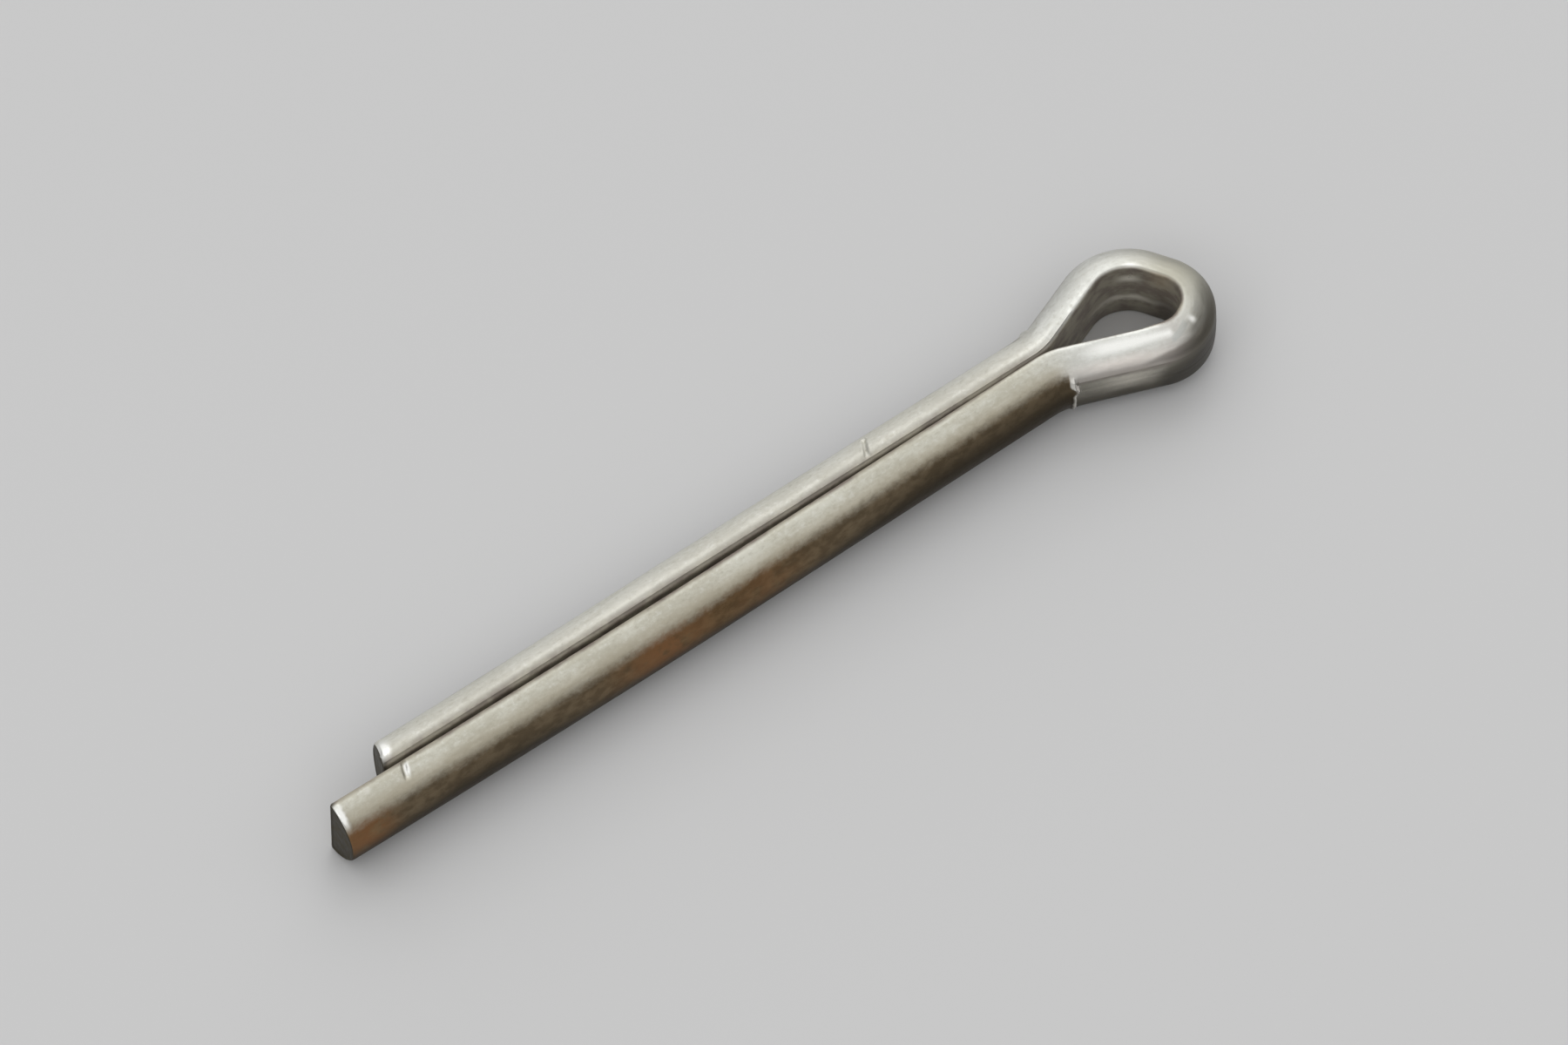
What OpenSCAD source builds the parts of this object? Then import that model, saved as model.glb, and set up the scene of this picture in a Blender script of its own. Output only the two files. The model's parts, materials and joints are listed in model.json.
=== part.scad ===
// Cotter pin: one length of half-round wire, folded flat side to flat side into an eye and two prongs.
// The origin is on the shank's axis where the shoulders of the eye begin. +X runs to the tips,
// +Y is the side of the longer prong, and +Z is up with the pin lying flat.

/* [Wire] */
// Diameter of the closed shank, which is the width of the half-round wire
wire_d = 2.8; // [2.6:0.05:3.2]
// Thickness of the wire from its flat side to the middle of its round side
wire_t = 1.335; // [1.3:0.005:1.4]
// Rounding where the flat side of the wire meets its round side
edge_r = 0.1; // [0.05:0.01:0.2]

/* [Prongs] */
// Length of the shorter prong from the shoulders to its tip
short_len = 25.5; // [20:0.1:40]
// How far the longer prong reaches past the shorter one
extra_len = 2.3; // [1.6:0.1:3.2]
// Gap between the flats at the shoulders
neck_gap = 0.03; // [0.02:0.01:0.1]
// Gap between the flats where the prongs bow furthest apart
bow_gap = 0.2; // [0.15:0.01:0.25]
// Gap between the flats at the shorter prong's tip
tip_gap = 0.15; // [0.1:0.01:0.18]
// Distance of the widest gap from the shoulders
bow_x = 14; // [10:0.1:16]
// Slant of the shear cut that ends the shorter prong
tip_slant = 20; // [0:1:30]

/* [Eye] */
// Angle of the two arms to the shank
arm_angle = 21.2; // [18:0.1:24]
// Bend radius of the shoulders, on the flat side
shoulder_r = 2.6; // [2.2:0.1:4]
// Straight length of the longer prong's arm
arm_len = 3.3; // [2.8:0.1:3.8]
// Inner radius of the bend at the far end of the eye
nose_r = 0.9; // [0.75:0.05:1.1]
// Inner radius of the bend at the crown, on the shorter prong's side
crown_r = 1.35; // [1:0.05:1.5]
// How far the wire turns at the crown
crown_turn = 78; // [65:1:85]
// Thickness of the wire round the eye, where the forming die has flattened it
eye_t = 1.1; // [1:0.05:1.25]

/* [Marks] */
// How far the lip that the die raised stands proud at the end of each shoulder
lip_h = 0.06; // [0.03:0.01:0.1]
// Width of the lip along the wire
lip_w = 0.16; // [0.1:0.01:0.3]
// Depth of the two nicks in the prongs
nick_depth = 0.08; // [0.04:0.01:0.12]
// Place of the nick along the shorter prong
short_nick_x = 6.3; // [3:0.1:9]
// Place of the nick along the longer prong
long_nick_x = 25.1; // [18:0.1:26]

/* [Hidden] */
$fn = 96;
wire_r = wire_d / 2;
// How far the round side's centre line lies beyond the flat side
round_off = wire_r - wire_t;
steel = [0.78, 0.77, 0.73];
// Bend radius of the slight bow in each prong
bow_r = 80;
out_angle = atan((bow_gap - neck_gap) / 2 / bow_x);
in_angle = atan((bow_gap - tip_gap) / 2 / (short_len - bow_x));
bow_turn = out_angle + in_angle;
bow_arc = bow_r * bow_turn * PI / 180;
inner_len = bow_x - bow_arc / 2;
// Nicks: radius of the tool's edge, length across the wire and angle round it
nick_r = 0.16;
nick_len = 0.9;
short_nick_at = 62;
long_nick_at = 73;
nick_skew = 17;
// Room that a cutting block needs past the wire
cut = 2 * wire_d;

// A bend is this much finer than the straights it joins, and reaches this far into them
inset = 0.01;
tuck = 0.04;

// The eye's route starts at the end of the longer prong's shoulder and ends at the other shoulder.
shoulder_turn = arm_angle + out_angle;
nose_turn = 180 + 2 * arm_angle - crown_turn;
arm_heading = 180 - arm_angle;
flat_heading = arm_heading + nose_turn;
neck_heading = 180 + out_angle;
arm_start = [0, neck_gap / 2] + step_out(neck_heading, arm_heading, shoulder_r);
// What the straight between nose and crown and the shorter prong's arm have to cover between them
rest = [0, -2 * arm_start[1]] - arm_len * ahead(arm_heading)
    - step_in(arm_heading, flat_heading, nose_r)
    - step_in(flat_heading, flat_heading + crown_turn, crown_r);
turned = cross(ahead(flat_heading), ahead(arm_angle));
flat_len = cross(rest, ahead(arm_angle)) / turned;
short_arm_len = cross(ahead(flat_heading), rest) / turned;

// Direction of a heading in the plane of the eye
function ahead(a) = [cos(a), sin(a)];

// Moves made by a bend from heading a to heading b at radius r: in to the left, or out to the right
function step_in(a, b, r) = r * [sin(b) - sin(a), cos(a) - cos(b)];
function step_out(a, b, r) = -step_in(a, b, r);

// Half-round section: flat side on x = 0, round side towards +x, cut off at thickness t,
// and drawn finer all round by the given amount
module section(t = wire_t, finer = 0) {
    r = wire_r - finer;
    flat_x = round_off + finer;
    edge_x = flat_x + edge_r;
    edge_y = sqrt(pow(r - edge_r, 2) - pow(edge_x, 2));
    out = r / (r - edge_r);
    translate([-round_off, 0])
        intersection() {
            union() {
                intersection() {
                    circle(r);
                    translate([edge_x * out, -r])
                        square([r, 2 * r]);
                }
                polygon([
                    [flat_x, -edge_y],
                    [edge_x * out, -edge_y * out],
                    [edge_x * out, edge_y * out],
                    [flat_x, edge_y]
                ]);
                for (side = [-1, 1])
                    translate([edge_x, side * edge_y])
                        circle(edge_r);
            }
            translate([0, -r])
                square([round_off + t - finer, 2 * r]);
        }
}

// Straight wire along +X, with its flat side on the left
module straight(length) {
    rotate([90, 0, 90])
        linear_extrude(length)
            mirror([1, 0])
                children();
}

// Bend to the left, about the flat side, from heading +X
module bend_in(r, turn) {
    over = tuck / r * 180 / PI;
    translate([0, r, 0])
        rotate([0, 0, -90 - over])
            rotate_extrude(angle = turn + 2 * over)
                translate([r, 0])
                    children();
}

// Bend to the right, about the round side, from heading +X
module bend_out(r, turn) {
    over = tuck / r * 180 / PI;
    translate([0, -r, 0])
        rotate([0, 0, 90 - turn - over])
            rotate_extrude(angle = turn + 2 * over)
                translate([r, 0])
                    mirror([1, 0])
                        children();
}

// Puts its children at a point of the route, heading the way the wire runs there
module at(point, heading) {
    translate([point[0], point[1], 0])
        rotate([0, 0, heading])
            children();
}

// Prong on the -Y side, from the shoulders to a tip at the given distance
module prong(length) {
    bow_start = [0, -neck_gap / 2] + inner_len * ahead(-out_angle);
    bow_end = bow_start + step_in(-out_angle, in_angle, bow_r);
    at([0, -neck_gap / 2], -out_angle)
        straight(inner_len)
            section();
    at(bow_start, -out_angle)
        bend_in(bow_r, bow_turn)
            section(finer = inset);
    at(bow_end, in_angle)
        straight(length - bow_end[0])
            section();
}

// Shoulder on the +Y side, with the raised lip over its far end
module shoulder() {
    at([0, neck_gap / 2], neck_heading)
        bend_out(shoulder_r, shoulder_turn)
            section(finer = inset);
    at(arm_start - lip_w * ahead(arm_heading), arm_heading)
        straight(lip_w + 2 * tuck)
            intersection() {
                translate([lip_h + 2 * inset, 0])
                    section(finer = 2 * inset);
                translate([wire_r / 2, -wire_r])
                    square([wire_r, wire_d]);
            }
}

module eye() {
    nose_start = arm_start + arm_len * ahead(arm_heading);
    flat_start = nose_start + step_in(arm_heading, flat_heading, nose_r);
    crown_start = flat_start + flat_len * ahead(flat_heading);
    crown_end = crown_start + step_in(flat_heading, flat_heading + crown_turn, crown_r);
    at(arm_start, arm_heading)
        straight(arm_len)
            section(eye_t);
    at(nose_start, arm_heading)
        bend_in(nose_r, nose_turn)
            section(eye_t, inset);
    at(flat_start, flat_heading)
        straight(flat_len)
            section(eye_t);
    at(crown_start, flat_heading)
        bend_in(crown_r, crown_turn)
            section(eye_t, inset);
    at(crown_end, arm_angle)
        straight(short_arm_len)
            section(eye_t);
}

// Shallow nick across the top of a prong, at an angle up from the prong's outer side
module nick(x, gap, angle, skew) {
    translate([x, round_off - gap / 2, 0])
        rotate([90 - angle, 0, 0])
            translate([0, 0, wire_r - nick_depth + nick_r])
                rotate([90, 0, skew])
                    cylinder(h = nick_len, r = nick_r, center = true);
}

module pin() {
    color(steel) {
        difference() {
            prong(short_len);
            translate([short_len, -tip_gap / 2, -cut / 2])
                rotate([0, 0, -tip_slant])
                    translate([0, -cut, 0])
                        cube([cut, 2 * cut, cut]);
            nick(short_nick_x, bow_gap / 2, short_nick_at, -nick_skew);
        }
        mirror([0, 1, 0])
            difference() {
                prong(short_len + extra_len);
                nick(long_nick_x, tip_gap, long_nick_at, 0);
            }
        for (side = [0, 1])
            mirror([0, side, 0])
                shoulder();
        eye();
    }
}

pin();
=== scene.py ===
"""Looks of the cotter pin: one half-round wire, shaped straight in millimetres and then bent along its route.

The straight wire runs along +X from the longer prong's tip to the shorter prong's. Its flat side lies on
y = 0 and its round side bulges towards -Y. Bent and scaled down, it lies where the CAD node lies.
"""

import json
import math

import bmesh
import bpy
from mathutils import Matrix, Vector


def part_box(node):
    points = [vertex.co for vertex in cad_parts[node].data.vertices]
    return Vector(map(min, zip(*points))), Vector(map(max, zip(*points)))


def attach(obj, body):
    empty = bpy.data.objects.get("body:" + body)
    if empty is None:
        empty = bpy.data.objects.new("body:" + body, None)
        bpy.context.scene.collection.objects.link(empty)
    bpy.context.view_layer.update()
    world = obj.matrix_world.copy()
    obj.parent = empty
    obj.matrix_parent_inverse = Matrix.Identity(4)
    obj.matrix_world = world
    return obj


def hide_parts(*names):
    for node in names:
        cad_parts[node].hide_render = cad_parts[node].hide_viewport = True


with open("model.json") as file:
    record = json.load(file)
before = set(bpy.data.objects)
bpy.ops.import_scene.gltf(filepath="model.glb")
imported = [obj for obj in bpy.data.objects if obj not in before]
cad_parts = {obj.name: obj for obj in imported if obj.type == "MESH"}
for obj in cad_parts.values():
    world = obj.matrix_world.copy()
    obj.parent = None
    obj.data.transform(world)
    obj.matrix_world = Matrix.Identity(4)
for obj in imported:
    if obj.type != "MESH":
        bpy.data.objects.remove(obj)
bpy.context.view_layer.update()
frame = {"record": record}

MM = 0.001
pin_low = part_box("pin")[0]
shank = frame["record"]["mounts"][0]["dims"]

# The wire, in millimetres
WIRE_R = shank["r_mm"]
WIRE_T = 1.335
ROUND_OFF = WIRE_R - WIRE_T
EDGE_R = 0.14
WIRE_SIDES = 120

# The prongs
EXTRA_LEN = 2.2
LONG_LEN = shank["length_mm"]
SHORT_LEN = LONG_LEN - EXTRA_LEN
NECK_GAP = 0.03
BOW_GAP = 0.2
TIP_GAP = 0.15
BOW_X = 14
BOW_R = 80
TIP_SLANT = math.radians(20)
# How far both tips lean to the shorter prong's side
TIP_LEAN = 0.12

# The eye
ARM_ANGLE = math.radians(21.2)
SHOULDER_R = 2.6
ARM_LEN = 3.3
NOSE_R = 0.9
CROWN_R = 1.35
CROWN_TURN = math.radians(78)
EYE_T = 1.1
# How much of the round side's swell the die left on the eye's outer face
EYE_SWELL = 0.12

# Width of the lips that the die raised, and the shorter prong's share of their height
LIP_W = 0.16
SHORT_LIP_SHARE = 0.55
# How far the shear rolled over the edges of the cut ends
END_ROLL = 0.11
# The nicks: how far from the eye, how many degrees up from the middle of the round side, how far they reach
# to both sides of that, and how far they lean along the wire for each degree
SHORT_NICK_X = 6.3
LONG_NICK_X = 25.1
SHORT_NICK_AT, SHORT_NICK_REACH, SHORT_NICK_LEAN = 62, 17, 0.011
LONG_NICK_AT, LONG_NICK_REACH, LONG_NICK_LEAN = 73, 11, 0.0075


def ahead(heading):
    """Unit step in the plane of the eye."""
    return Vector((math.cos(heading), math.sin(heading)))


def step_in(start, end, radius):
    """Move made by a bend to the left from one heading to another."""
    return radius * Vector((math.sin(end) - math.sin(start), math.cos(start) - math.cos(end)))


def wire_route():
    """Stretches of the flat side's line from the longer tip to the shorter.

    Each has its name, length, heading, radius and turn. A positive turn is to the left, about the flat side.
    """
    out_angle = math.atan((BOW_GAP - NECK_GAP) / 2 / BOW_X)
    in_angle = math.atan((BOW_GAP - TIP_GAP) / 2 / (SHORT_LEN - BOW_X))
    bow_turn = out_angle + in_angle
    bow_len = BOW_R * bow_turn
    neck_len = BOW_X - bow_len / 2
    bow_end_x = BOW_X + bow_len / 2
    shoulder_turn = ARM_ANGLE + out_angle
    nose_turn = math.pi + 2 * ARM_ANGLE - CROWN_TURN
    arm_heading = math.pi - ARM_ANGLE
    flat_heading = arm_heading + nose_turn
    neck_heading = math.pi + out_angle
    # The chord and the shorter prong's arm close the eye, so their lengths follow from all the rest
    arm_start = Vector((0, NECK_GAP / 2)) - step_in(neck_heading, arm_heading, SHOULDER_R)
    rest = (
        Vector((0, -2 * arm_start.y))
        - ARM_LEN * ahead(arm_heading)
        - step_in(arm_heading, flat_heading, NOSE_R)
        - step_in(flat_heading, flat_heading + CROWN_TURN, CROWN_R)
    )
    turned = ahead(flat_heading).cross(ahead(ARM_ANGLE))
    flat_len = rest.cross(ahead(ARM_ANGLE)) / turned
    short_arm_len = ahead(flat_heading).cross(rest) / turned
    return [
        ("long_tip", LONG_LEN - bow_end_x, math.pi - in_angle, 0, 0),
        ("long_bow", bow_len, math.pi - in_angle, BOW_R, bow_turn),
        ("long_neck", neck_len, neck_heading, 0, 0),
        ("long_shoulder", SHOULDER_R * shoulder_turn, neck_heading, SHOULDER_R, -shoulder_turn),
        ("arm", ARM_LEN, arm_heading, 0, 0),
        ("nose", NOSE_R * nose_turn, arm_heading, NOSE_R, nose_turn),
        ("chord", flat_len, flat_heading, 0, 0),
        ("crown", CROWN_R * CROWN_TURN, flat_heading, CROWN_R, CROWN_TURN),
        ("short_arm", short_arm_len, ARM_ANGLE, 0, 0),
        ("short_shoulder", SHOULDER_R * shoulder_turn, ARM_ANGLE, SHOULDER_R, -shoulder_turn),
        ("short_neck", neck_len, -out_angle, 0, 0),
        ("short_bow", bow_len, -out_angle, BOW_R, bow_turn),
        ("short_tip", SHORT_LEN - bow_end_x, in_angle, 0, 0),
    ]


def stations():
    """Where each stretch starts and ends along the straight wire."""
    places, x = {}, 0.0
    for name, length, *_ in ROUTE:
        places[name] = (x, x + length)
        x += length
    return places


ROUTE = wire_route()
AT = stations()
WIRE_LEN = AT["short_tip"][1]
ARM_X, NOSE_X, CHORD_X, CROWN_X = (AT[name][0] for name in ("arm", "nose", "chord", "crown"))
LONG_NICK = LONG_LEN - LONG_NICK_X
SHORT_NICK = AT["short_neck"][0] + SHORT_NICK_X
# Both cut ends of the straight wire, and the way that each faces
SQUARE_END = Vector((0, 0, 0)), Vector((-1, 0, 0))
SLANTED_END = Vector((WIRE_LEN, 0, 0)), Vector((math.cos(TIP_SLANT), -math.sin(TIP_SLANT), 0))
# Where along the straight wire the die's two edges bit
LONG_LIP = ARM_X + 0.12
SHORT_LIP = AT["short_arm"][1]
# The longer prong's lip has a step to the eye's side: its height on the wire, half width and reach
STEP_Z = 0.47
STEP_HALF = 0.2
STEP_OUT = 0.13


def lip_step(z):
    """How far the longer prong's lip steps along the wire at a height."""
    share = max(0.0, 1 - abs(z - STEP_Z) / STEP_HALF)
    return STEP_OUT * share * share * (3 - 2 * share)


# ---------------------------------------------------------------- modelling by hand

# Places in the wire's list of materials, after the drawn steel that all of it has at first
PRESSED, SHEARED = 1, 2
# Edges turned by more than this stay crisp
CRISP_ANGLE = math.radians(42)


def deselect_everything():
    if bpy.context.object and bpy.context.object.mode != "OBJECT":
        bpy.ops.object.mode_set(mode="OBJECT")
    bpy.ops.object.select_all(action="DESELECT")


def pick(piece, wanted, kind="VERT"):
    """In edit mode, selects the vertices, edges or faces that a test on their places wants."""
    bpy.ops.mesh.select_all(action="DESELECT")
    bpy.context.tool_settings.mesh_select_mode = (kind == "VERT", kind == "EDGE", kind == "FACE")
    shape = bmesh.from_edit_mesh(piece.data)
    parts, test = {
        "VERT": (shape.verts, lambda v: wanted(v.co)),
        "EDGE": (shape.edges, lambda e: wanted(e.verts[0].co, e.verts[1].co)),
        "FACE": (shape.faces, lambda f: wanted(f.calc_center_median(), f.normal)),
    }[kind]
    for part in parts:
        if test(part):
            part.select_set(True)
    bmesh.update_edit_mesh(piece.data)


def push(piece, wanted, move):
    """Moves the vertices that a test wants."""
    pick(piece, wanted)
    bpy.ops.transform.translate(value=move)


def cut_through(point, normal, **clearing):
    """Cuts the whole wire with a plane."""
    bpy.ops.mesh.select_all(action="SELECT")
    bpy.ops.mesh.bisect(plane_co=point, plane_no=normal, threshold=1e-5, **clearing)


def give_finish(piece, number):
    """Gives the selected faces one of the piece's materials."""
    piece.active_material_index = number
    bpy.ops.object.material_slot_assign()


def lengthwise(a, b):
    """Whether the edge between two places runs along the wire."""
    return abs(a.x - b.x) > 5 * max(abs(a.y - b.y), abs(a.z - b.z))


def half_round_bar():
    """A round bar with one side planed flat and the two corners eased."""
    bpy.ops.mesh.primitive_cylinder_add(
        vertices=WIRE_SIDES,
        radius=WIRE_R,
        depth=WIRE_LEN + 2,
        location=(WIRE_LEN / 2, ROUND_OFF, 0),
        rotation=(0, math.pi / 2, 0),
    )
    bar = bpy.context.object
    bar.name = "pin_wire"
    bpy.ops.object.transform_apply(location=True, rotation=True, scale=True)
    bpy.ops.object.mode_set(mode="EDIT")
    cut_through((0, 0, 0), (0, 1, 0), use_fill=True, clear_outer=True)

    def near_corner(a, b):
        return lengthwise(a, b) and -EDGE_R * 1.15 < a.y and abs(a.z) > WIRE_R / 2

    pick(bar, lambda a, b: near_corner(a, b) and a.y < -0.001, "EDGE")
    bpy.ops.mesh.dissolve_edges(use_verts=True)
    pick(bar, lambda a, b: near_corner(a, b) and a.y > -0.001, "EDGE")
    bpy.ops.mesh.bevel(offset=EDGE_R, segments=6, profile=0.5, affect="EDGES")
    return bar


def shear_ends():
    """The longer prong is cut square and the shorter one on a slant."""
    cut_through((0, 0, 0), (1, 0, 0), use_fill=True, clear_inner=True)
    cut_through(*SLANTED_END, use_fill=True, clear_outer=True)


def roll_ends(bar):
    """The shear rolled the edges of the cut ends over and left their faces slightly dished."""
    for middle, out in (SQUARE_END, SLANTED_END):

        def off_end(co):
            return abs((co - middle).dot(out))

        pick(bar, lambda a, b: max(off_end(a), off_end(b)) < 0.002, "EDGE")
        bpy.ops.mesh.bevel(offset=END_ROLL, segments=5, profile=0.5, affect="EDGES")
        for share, dip in ((0.9, 0), (0.94, 0.025)):
            pick(bar, lambda co, n: off_end(co) < 0.002 and n.dot(out) > 0.99, "FACE")
            bpy.ops.mesh.extrude_region_move(TRANSFORM_OT_translate={"value": tuple(-dip * out)})
            bpy.ops.transform.resize(value=(share, share, share))
        pick(bar, lambda co, n: off_end(co) < 0.03, "FACE")
        give_finish(bar, SHEARED)


def cut_rings(bar):
    """Rings for the bends, close together where there are marks and ends: start, end and spacing."""
    runs = [
        (0, 0.5, 0.05),
        (0.5, LONG_NICK - 0.35, 0.25),
        (LONG_NICK - 0.35, LONG_NICK + 0.35, 0.03),
        (LONG_NICK + 0.35, AT["long_neck"][1], 0.25),
        (AT["long_shoulder"][0], LONG_LIP - 2 * LIP_W, 0.05),
        (LONG_LIP - 2 * LIP_W, LONG_LIP + 2 * LIP_W, 0.02),
        (LONG_LIP + 2 * LIP_W, AT["arm"][1], 0.08),
        (*AT["nose"], 0.04),
        (*AT["chord"], 0.08),
        (*AT["crown"], 0.05),
        (AT["short_arm"][0], SHORT_LIP - LIP_W, 0.08),
        (SHORT_LIP - LIP_W, SHORT_LIP + 2 * LIP_W, 0.02),
        (SHORT_LIP + 2 * LIP_W, AT["short_shoulder"][1], 0.05),
        (AT["short_neck"][0], SHORT_NICK - 0.45, 0.25),
        (SHORT_NICK - 0.45, SHORT_NICK + 0.45, 0.035),
        (SHORT_NICK + 0.45, WIRE_LEN - 1.0, 0.25),
        (WIRE_LEN - 1.0, WIRE_LEN + 1, 0.05),
    ]
    for start, _, _ in runs[1:]:
        cut_through((start, 0, 0), (1, 0, 0))
    for start, end, spacing in runs:

        def in_run(a, b):
            inside = start - 0.001 < min(a.x, b.x) and max(a.x, b.x) < end + 0.001
            return inside and lengthwise(a, b) and abs(a.x - b.x) > 2 * END_ROLL

        pick(bar, in_run, "EDGE")
        cuts = max(1, round((min(end, WIRE_LEN) - start) / spacing) - 1)
        bpy.ops.mesh.subdivide(number_cuts=cuts)


def flatten_eye(bar):
    """The die's flat round the outside of the eye, with a softened crease at its edge."""
    pick(bar, lambda co: LONG_LIP + lip_step(co.z) - 0.001 < co.x < SHORT_LIP + 0.001 and co.y < -EYE_T)
    bpy.ops.transform.resize(value=(1, EYE_SWELL, 1), center_override=(0, -EYE_T, 0))
    pick(bar, lambda co: LONG_LIP + STEP_OUT < co.x < SHORT_LIP - 0.02 and abs(co.y + EYE_T - 0.02) < 0.1)
    bpy.ops.mesh.vertices_smooth(factor=0.5, repeat=5, xaxis=False)


def raise_lips(bar):
    """The lips where the die's edges bit into the shoulders.

    They rise in steps that reach less and less far, and are torn down between some heights.
    """
    steps = (0.19, 0.012), (0.14, 0.02), (0.09, 0.018), (0.04, 0.01)
    tears = (0.58, 0.66, 0.02), (0.28, 0.36, 0.02), (-0.12, 0.06, 0.015), (-0.6, -0.48, 0.02)
    for side, share in ((-1, 1.0), (1, SHORT_LIP_SHARE)):

        def on_lip(co, reach):
            edge = LONG_LIP + lip_step(co.z) if side < 0 else SHORT_LIP
            return -0.012 < (co.x - edge) * side < reach and co.y < -EYE_T + 0.04

        for reach, rise in steps:
            push(bar, lambda co: on_lip(co, reach), (0, -rise * share, 0))
        for low, high, depth in tears:
            push(bar, lambda co: on_lip(co, 0.1) and low < co.z < high, (0, depth * share, 0))


def score_eye(bar):
    """Grooves that the die dragged along the pressed face: height on the wire, start, end and depth."""
    grooves = (
        (0.22, ARM_X + 0.35, NOSE_X - 0.2, 0.022),
        (-0.08, ARM_X + 1.0, NOSE_X + 1.1, 0.018),
        (-0.40, ARM_X + 0.2, ARM_X + 2.1, 0.015),
        (0.10, AT["short_arm"][0] - 0.5, SHORT_LIP - 0.4, 0.018),
    )
    for height, start, end, depth in grooves:
        push(
            bar,
            lambda co: abs(co.z - height) < 0.045 and start < co.x < end and co.y < -EYE_T,
            (0, depth, 0),
        )


def nick(bar, place, middle, reach, lean):
    """A nick across the wire: a raised rim, and then a groove cut in three steps.

    Angles are up from the middle of the round side, in degrees.
    """
    steps = (0.15, 1, -0.012), (0.11, 0, 0.027), (0.075, -1, 0.03), (0.04, -2, 0.025)

    def inside(co, half_width, spare):
        angle = math.degrees(math.atan2(co.z, ROUND_OFF - co.y))
        if co.y > -0.02 or abs(angle - middle) > reach + spare:
            return False
        return abs(co.x - place - lean * (angle - middle)) < half_width

    for half_width, spare, depth in steps:
        pick(bar, lambda co: inside(co, half_width, spare))
        bpy.ops.transform.shrink_fatten(value=-depth)


def raise_burrs(bar):
    """The burrs that the shear left behind the upper edge of each cut end."""
    slope = math.tan(TIP_SLANT)
    for end, side, lag in ((0, 1, 0), (WIRE_LEN, -1, slope)):

        def behind_edge(co, reach):
            off_end = (co.x - end) * side + co.y * lag
            return END_ROLL < off_end < reach and co.z > 0.75 and co.y < -0.2

        for reach, height in ((0.3, 0.008), (0.24, 0.012)):
            pick(bar, lambda co: behind_edge(co, reach))
            bpy.ops.transform.shrink_fatten(value=height)
    # The slanted end's upper corner sticks out a little
    push(bar, lambda co: WIRE_LEN - co.x - co.y * slope < 0.3 and co.z > 1.0 and co.y < -0.3, (0.02, 0, 0))


def soften_short_prong(bar):
    """The shorter prong's inner top edge is worn rounder, growing so along its shoulder."""
    runs, run_len = 8, 0.35
    for run in range(runs):
        worn_from = AT["short_arm"][0] + run_len * run
        for reach, drop in ((0.42, 0.010), (0.33, 0.018), (0.25, 0.026), (0.18, 0.034), (0.1, 0.042)):
            push(bar, lambda co: co.x > worn_from and co.y > -reach and co.z > 1, (0, 0, -drop / runs))


def swell_nose(bar):
    """The inner side bulges where the wire turns tightest."""
    for reach in (1.1, 0.95, 0.8, 0.65, 0.5, 0.35):
        push(bar, lambda co: abs(co.x - (NOSE_X + 0.5)) < reach and co.y > -0.3, (0, 0.014, 0))


def finish_pressed_face(bar):
    """The die's flat has a finish of its own."""
    pick(
        bar,
        lambda co, n: LONG_LIP + lip_step(co.z) < co.x < SHORT_LIP and co.y < -EYE_T and n.y < -0.9,
        "FACE",
    )
    give_finish(bar, PRESSED)


def along_route(x):
    """Place and heading of the flat side's line once it is bent, so far along the straight wire."""
    tip_heading = ROUTE[0][2]
    here = Vector((LONG_LEN, TIP_GAP / 2 - (LONG_LEN - SHORT_LEN) * math.tan(math.pi - tip_heading)))
    for name, length, heading, radius, turn in ROUTE:
        gone = min(x, length) if name != "short_tip" else x
        if turn:
            turned = turn * gone / length
            here = here + math.copysign(1, turn) * step_in(heading, heading + turned, radius)
            heading += turned
        else:
            here = here + gone * ahead(heading)
        x -= gone
        if x < 1e-9:
            return here, heading


def bent_route():
    """The route as a line that the straight wire is bent along, with the tips leaning to one side."""
    longest_step, widest_turn = 0.5, math.radians(1)
    places = []
    for name, length, _, _, turn in ROUTE:
        steps = max(2, round(length / longest_step), round(abs(turn) / widest_turn))
        places += [AT[name][0] + length * i / steps for i in range(steps)]
    points = [along_route(x)[0] for x in places + [WIRE_LEN]]
    data = bpy.data.curves.new("pin_route", "CURVE")
    data.dimensions = "3D"
    line = data.splines.new("POLY")
    line.points.add(len(points) - 1)
    for point, place in zip(line.points, points):
        place.y -= TIP_LEAN * max(0, (place.x - BOW_X) / (LONG_LEN - BOW_X)) ** 2
        point.co = (place.x, place.y, 0, 1)
    route = bpy.data.objects.new("pin_route", data)
    bpy.context.scene.collection.objects.link(route)
    return route


def bend_wire(bar):
    """Bends the straight wire along its route, and keeps its straight places for the finish."""
    bpy.ops.object.mode_set(mode="OBJECT")
    straight = bar.data.attributes.new("straight", "FLOAT_VECTOR", "POINT")
    straight.data.foreach_set("vector", [c for v in bar.data.vertices for c in v.co])
    route = bent_route()
    bend = bar.modifiers.new("bend", "CURVE")
    bend.object = route
    bend.deform_axis = "POS_X"
    bpy.ops.object.modifier_apply(modifier="bend")
    bpy.data.objects.remove(route)
    bpy.ops.object.mode_set(mode="EDIT")


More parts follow.
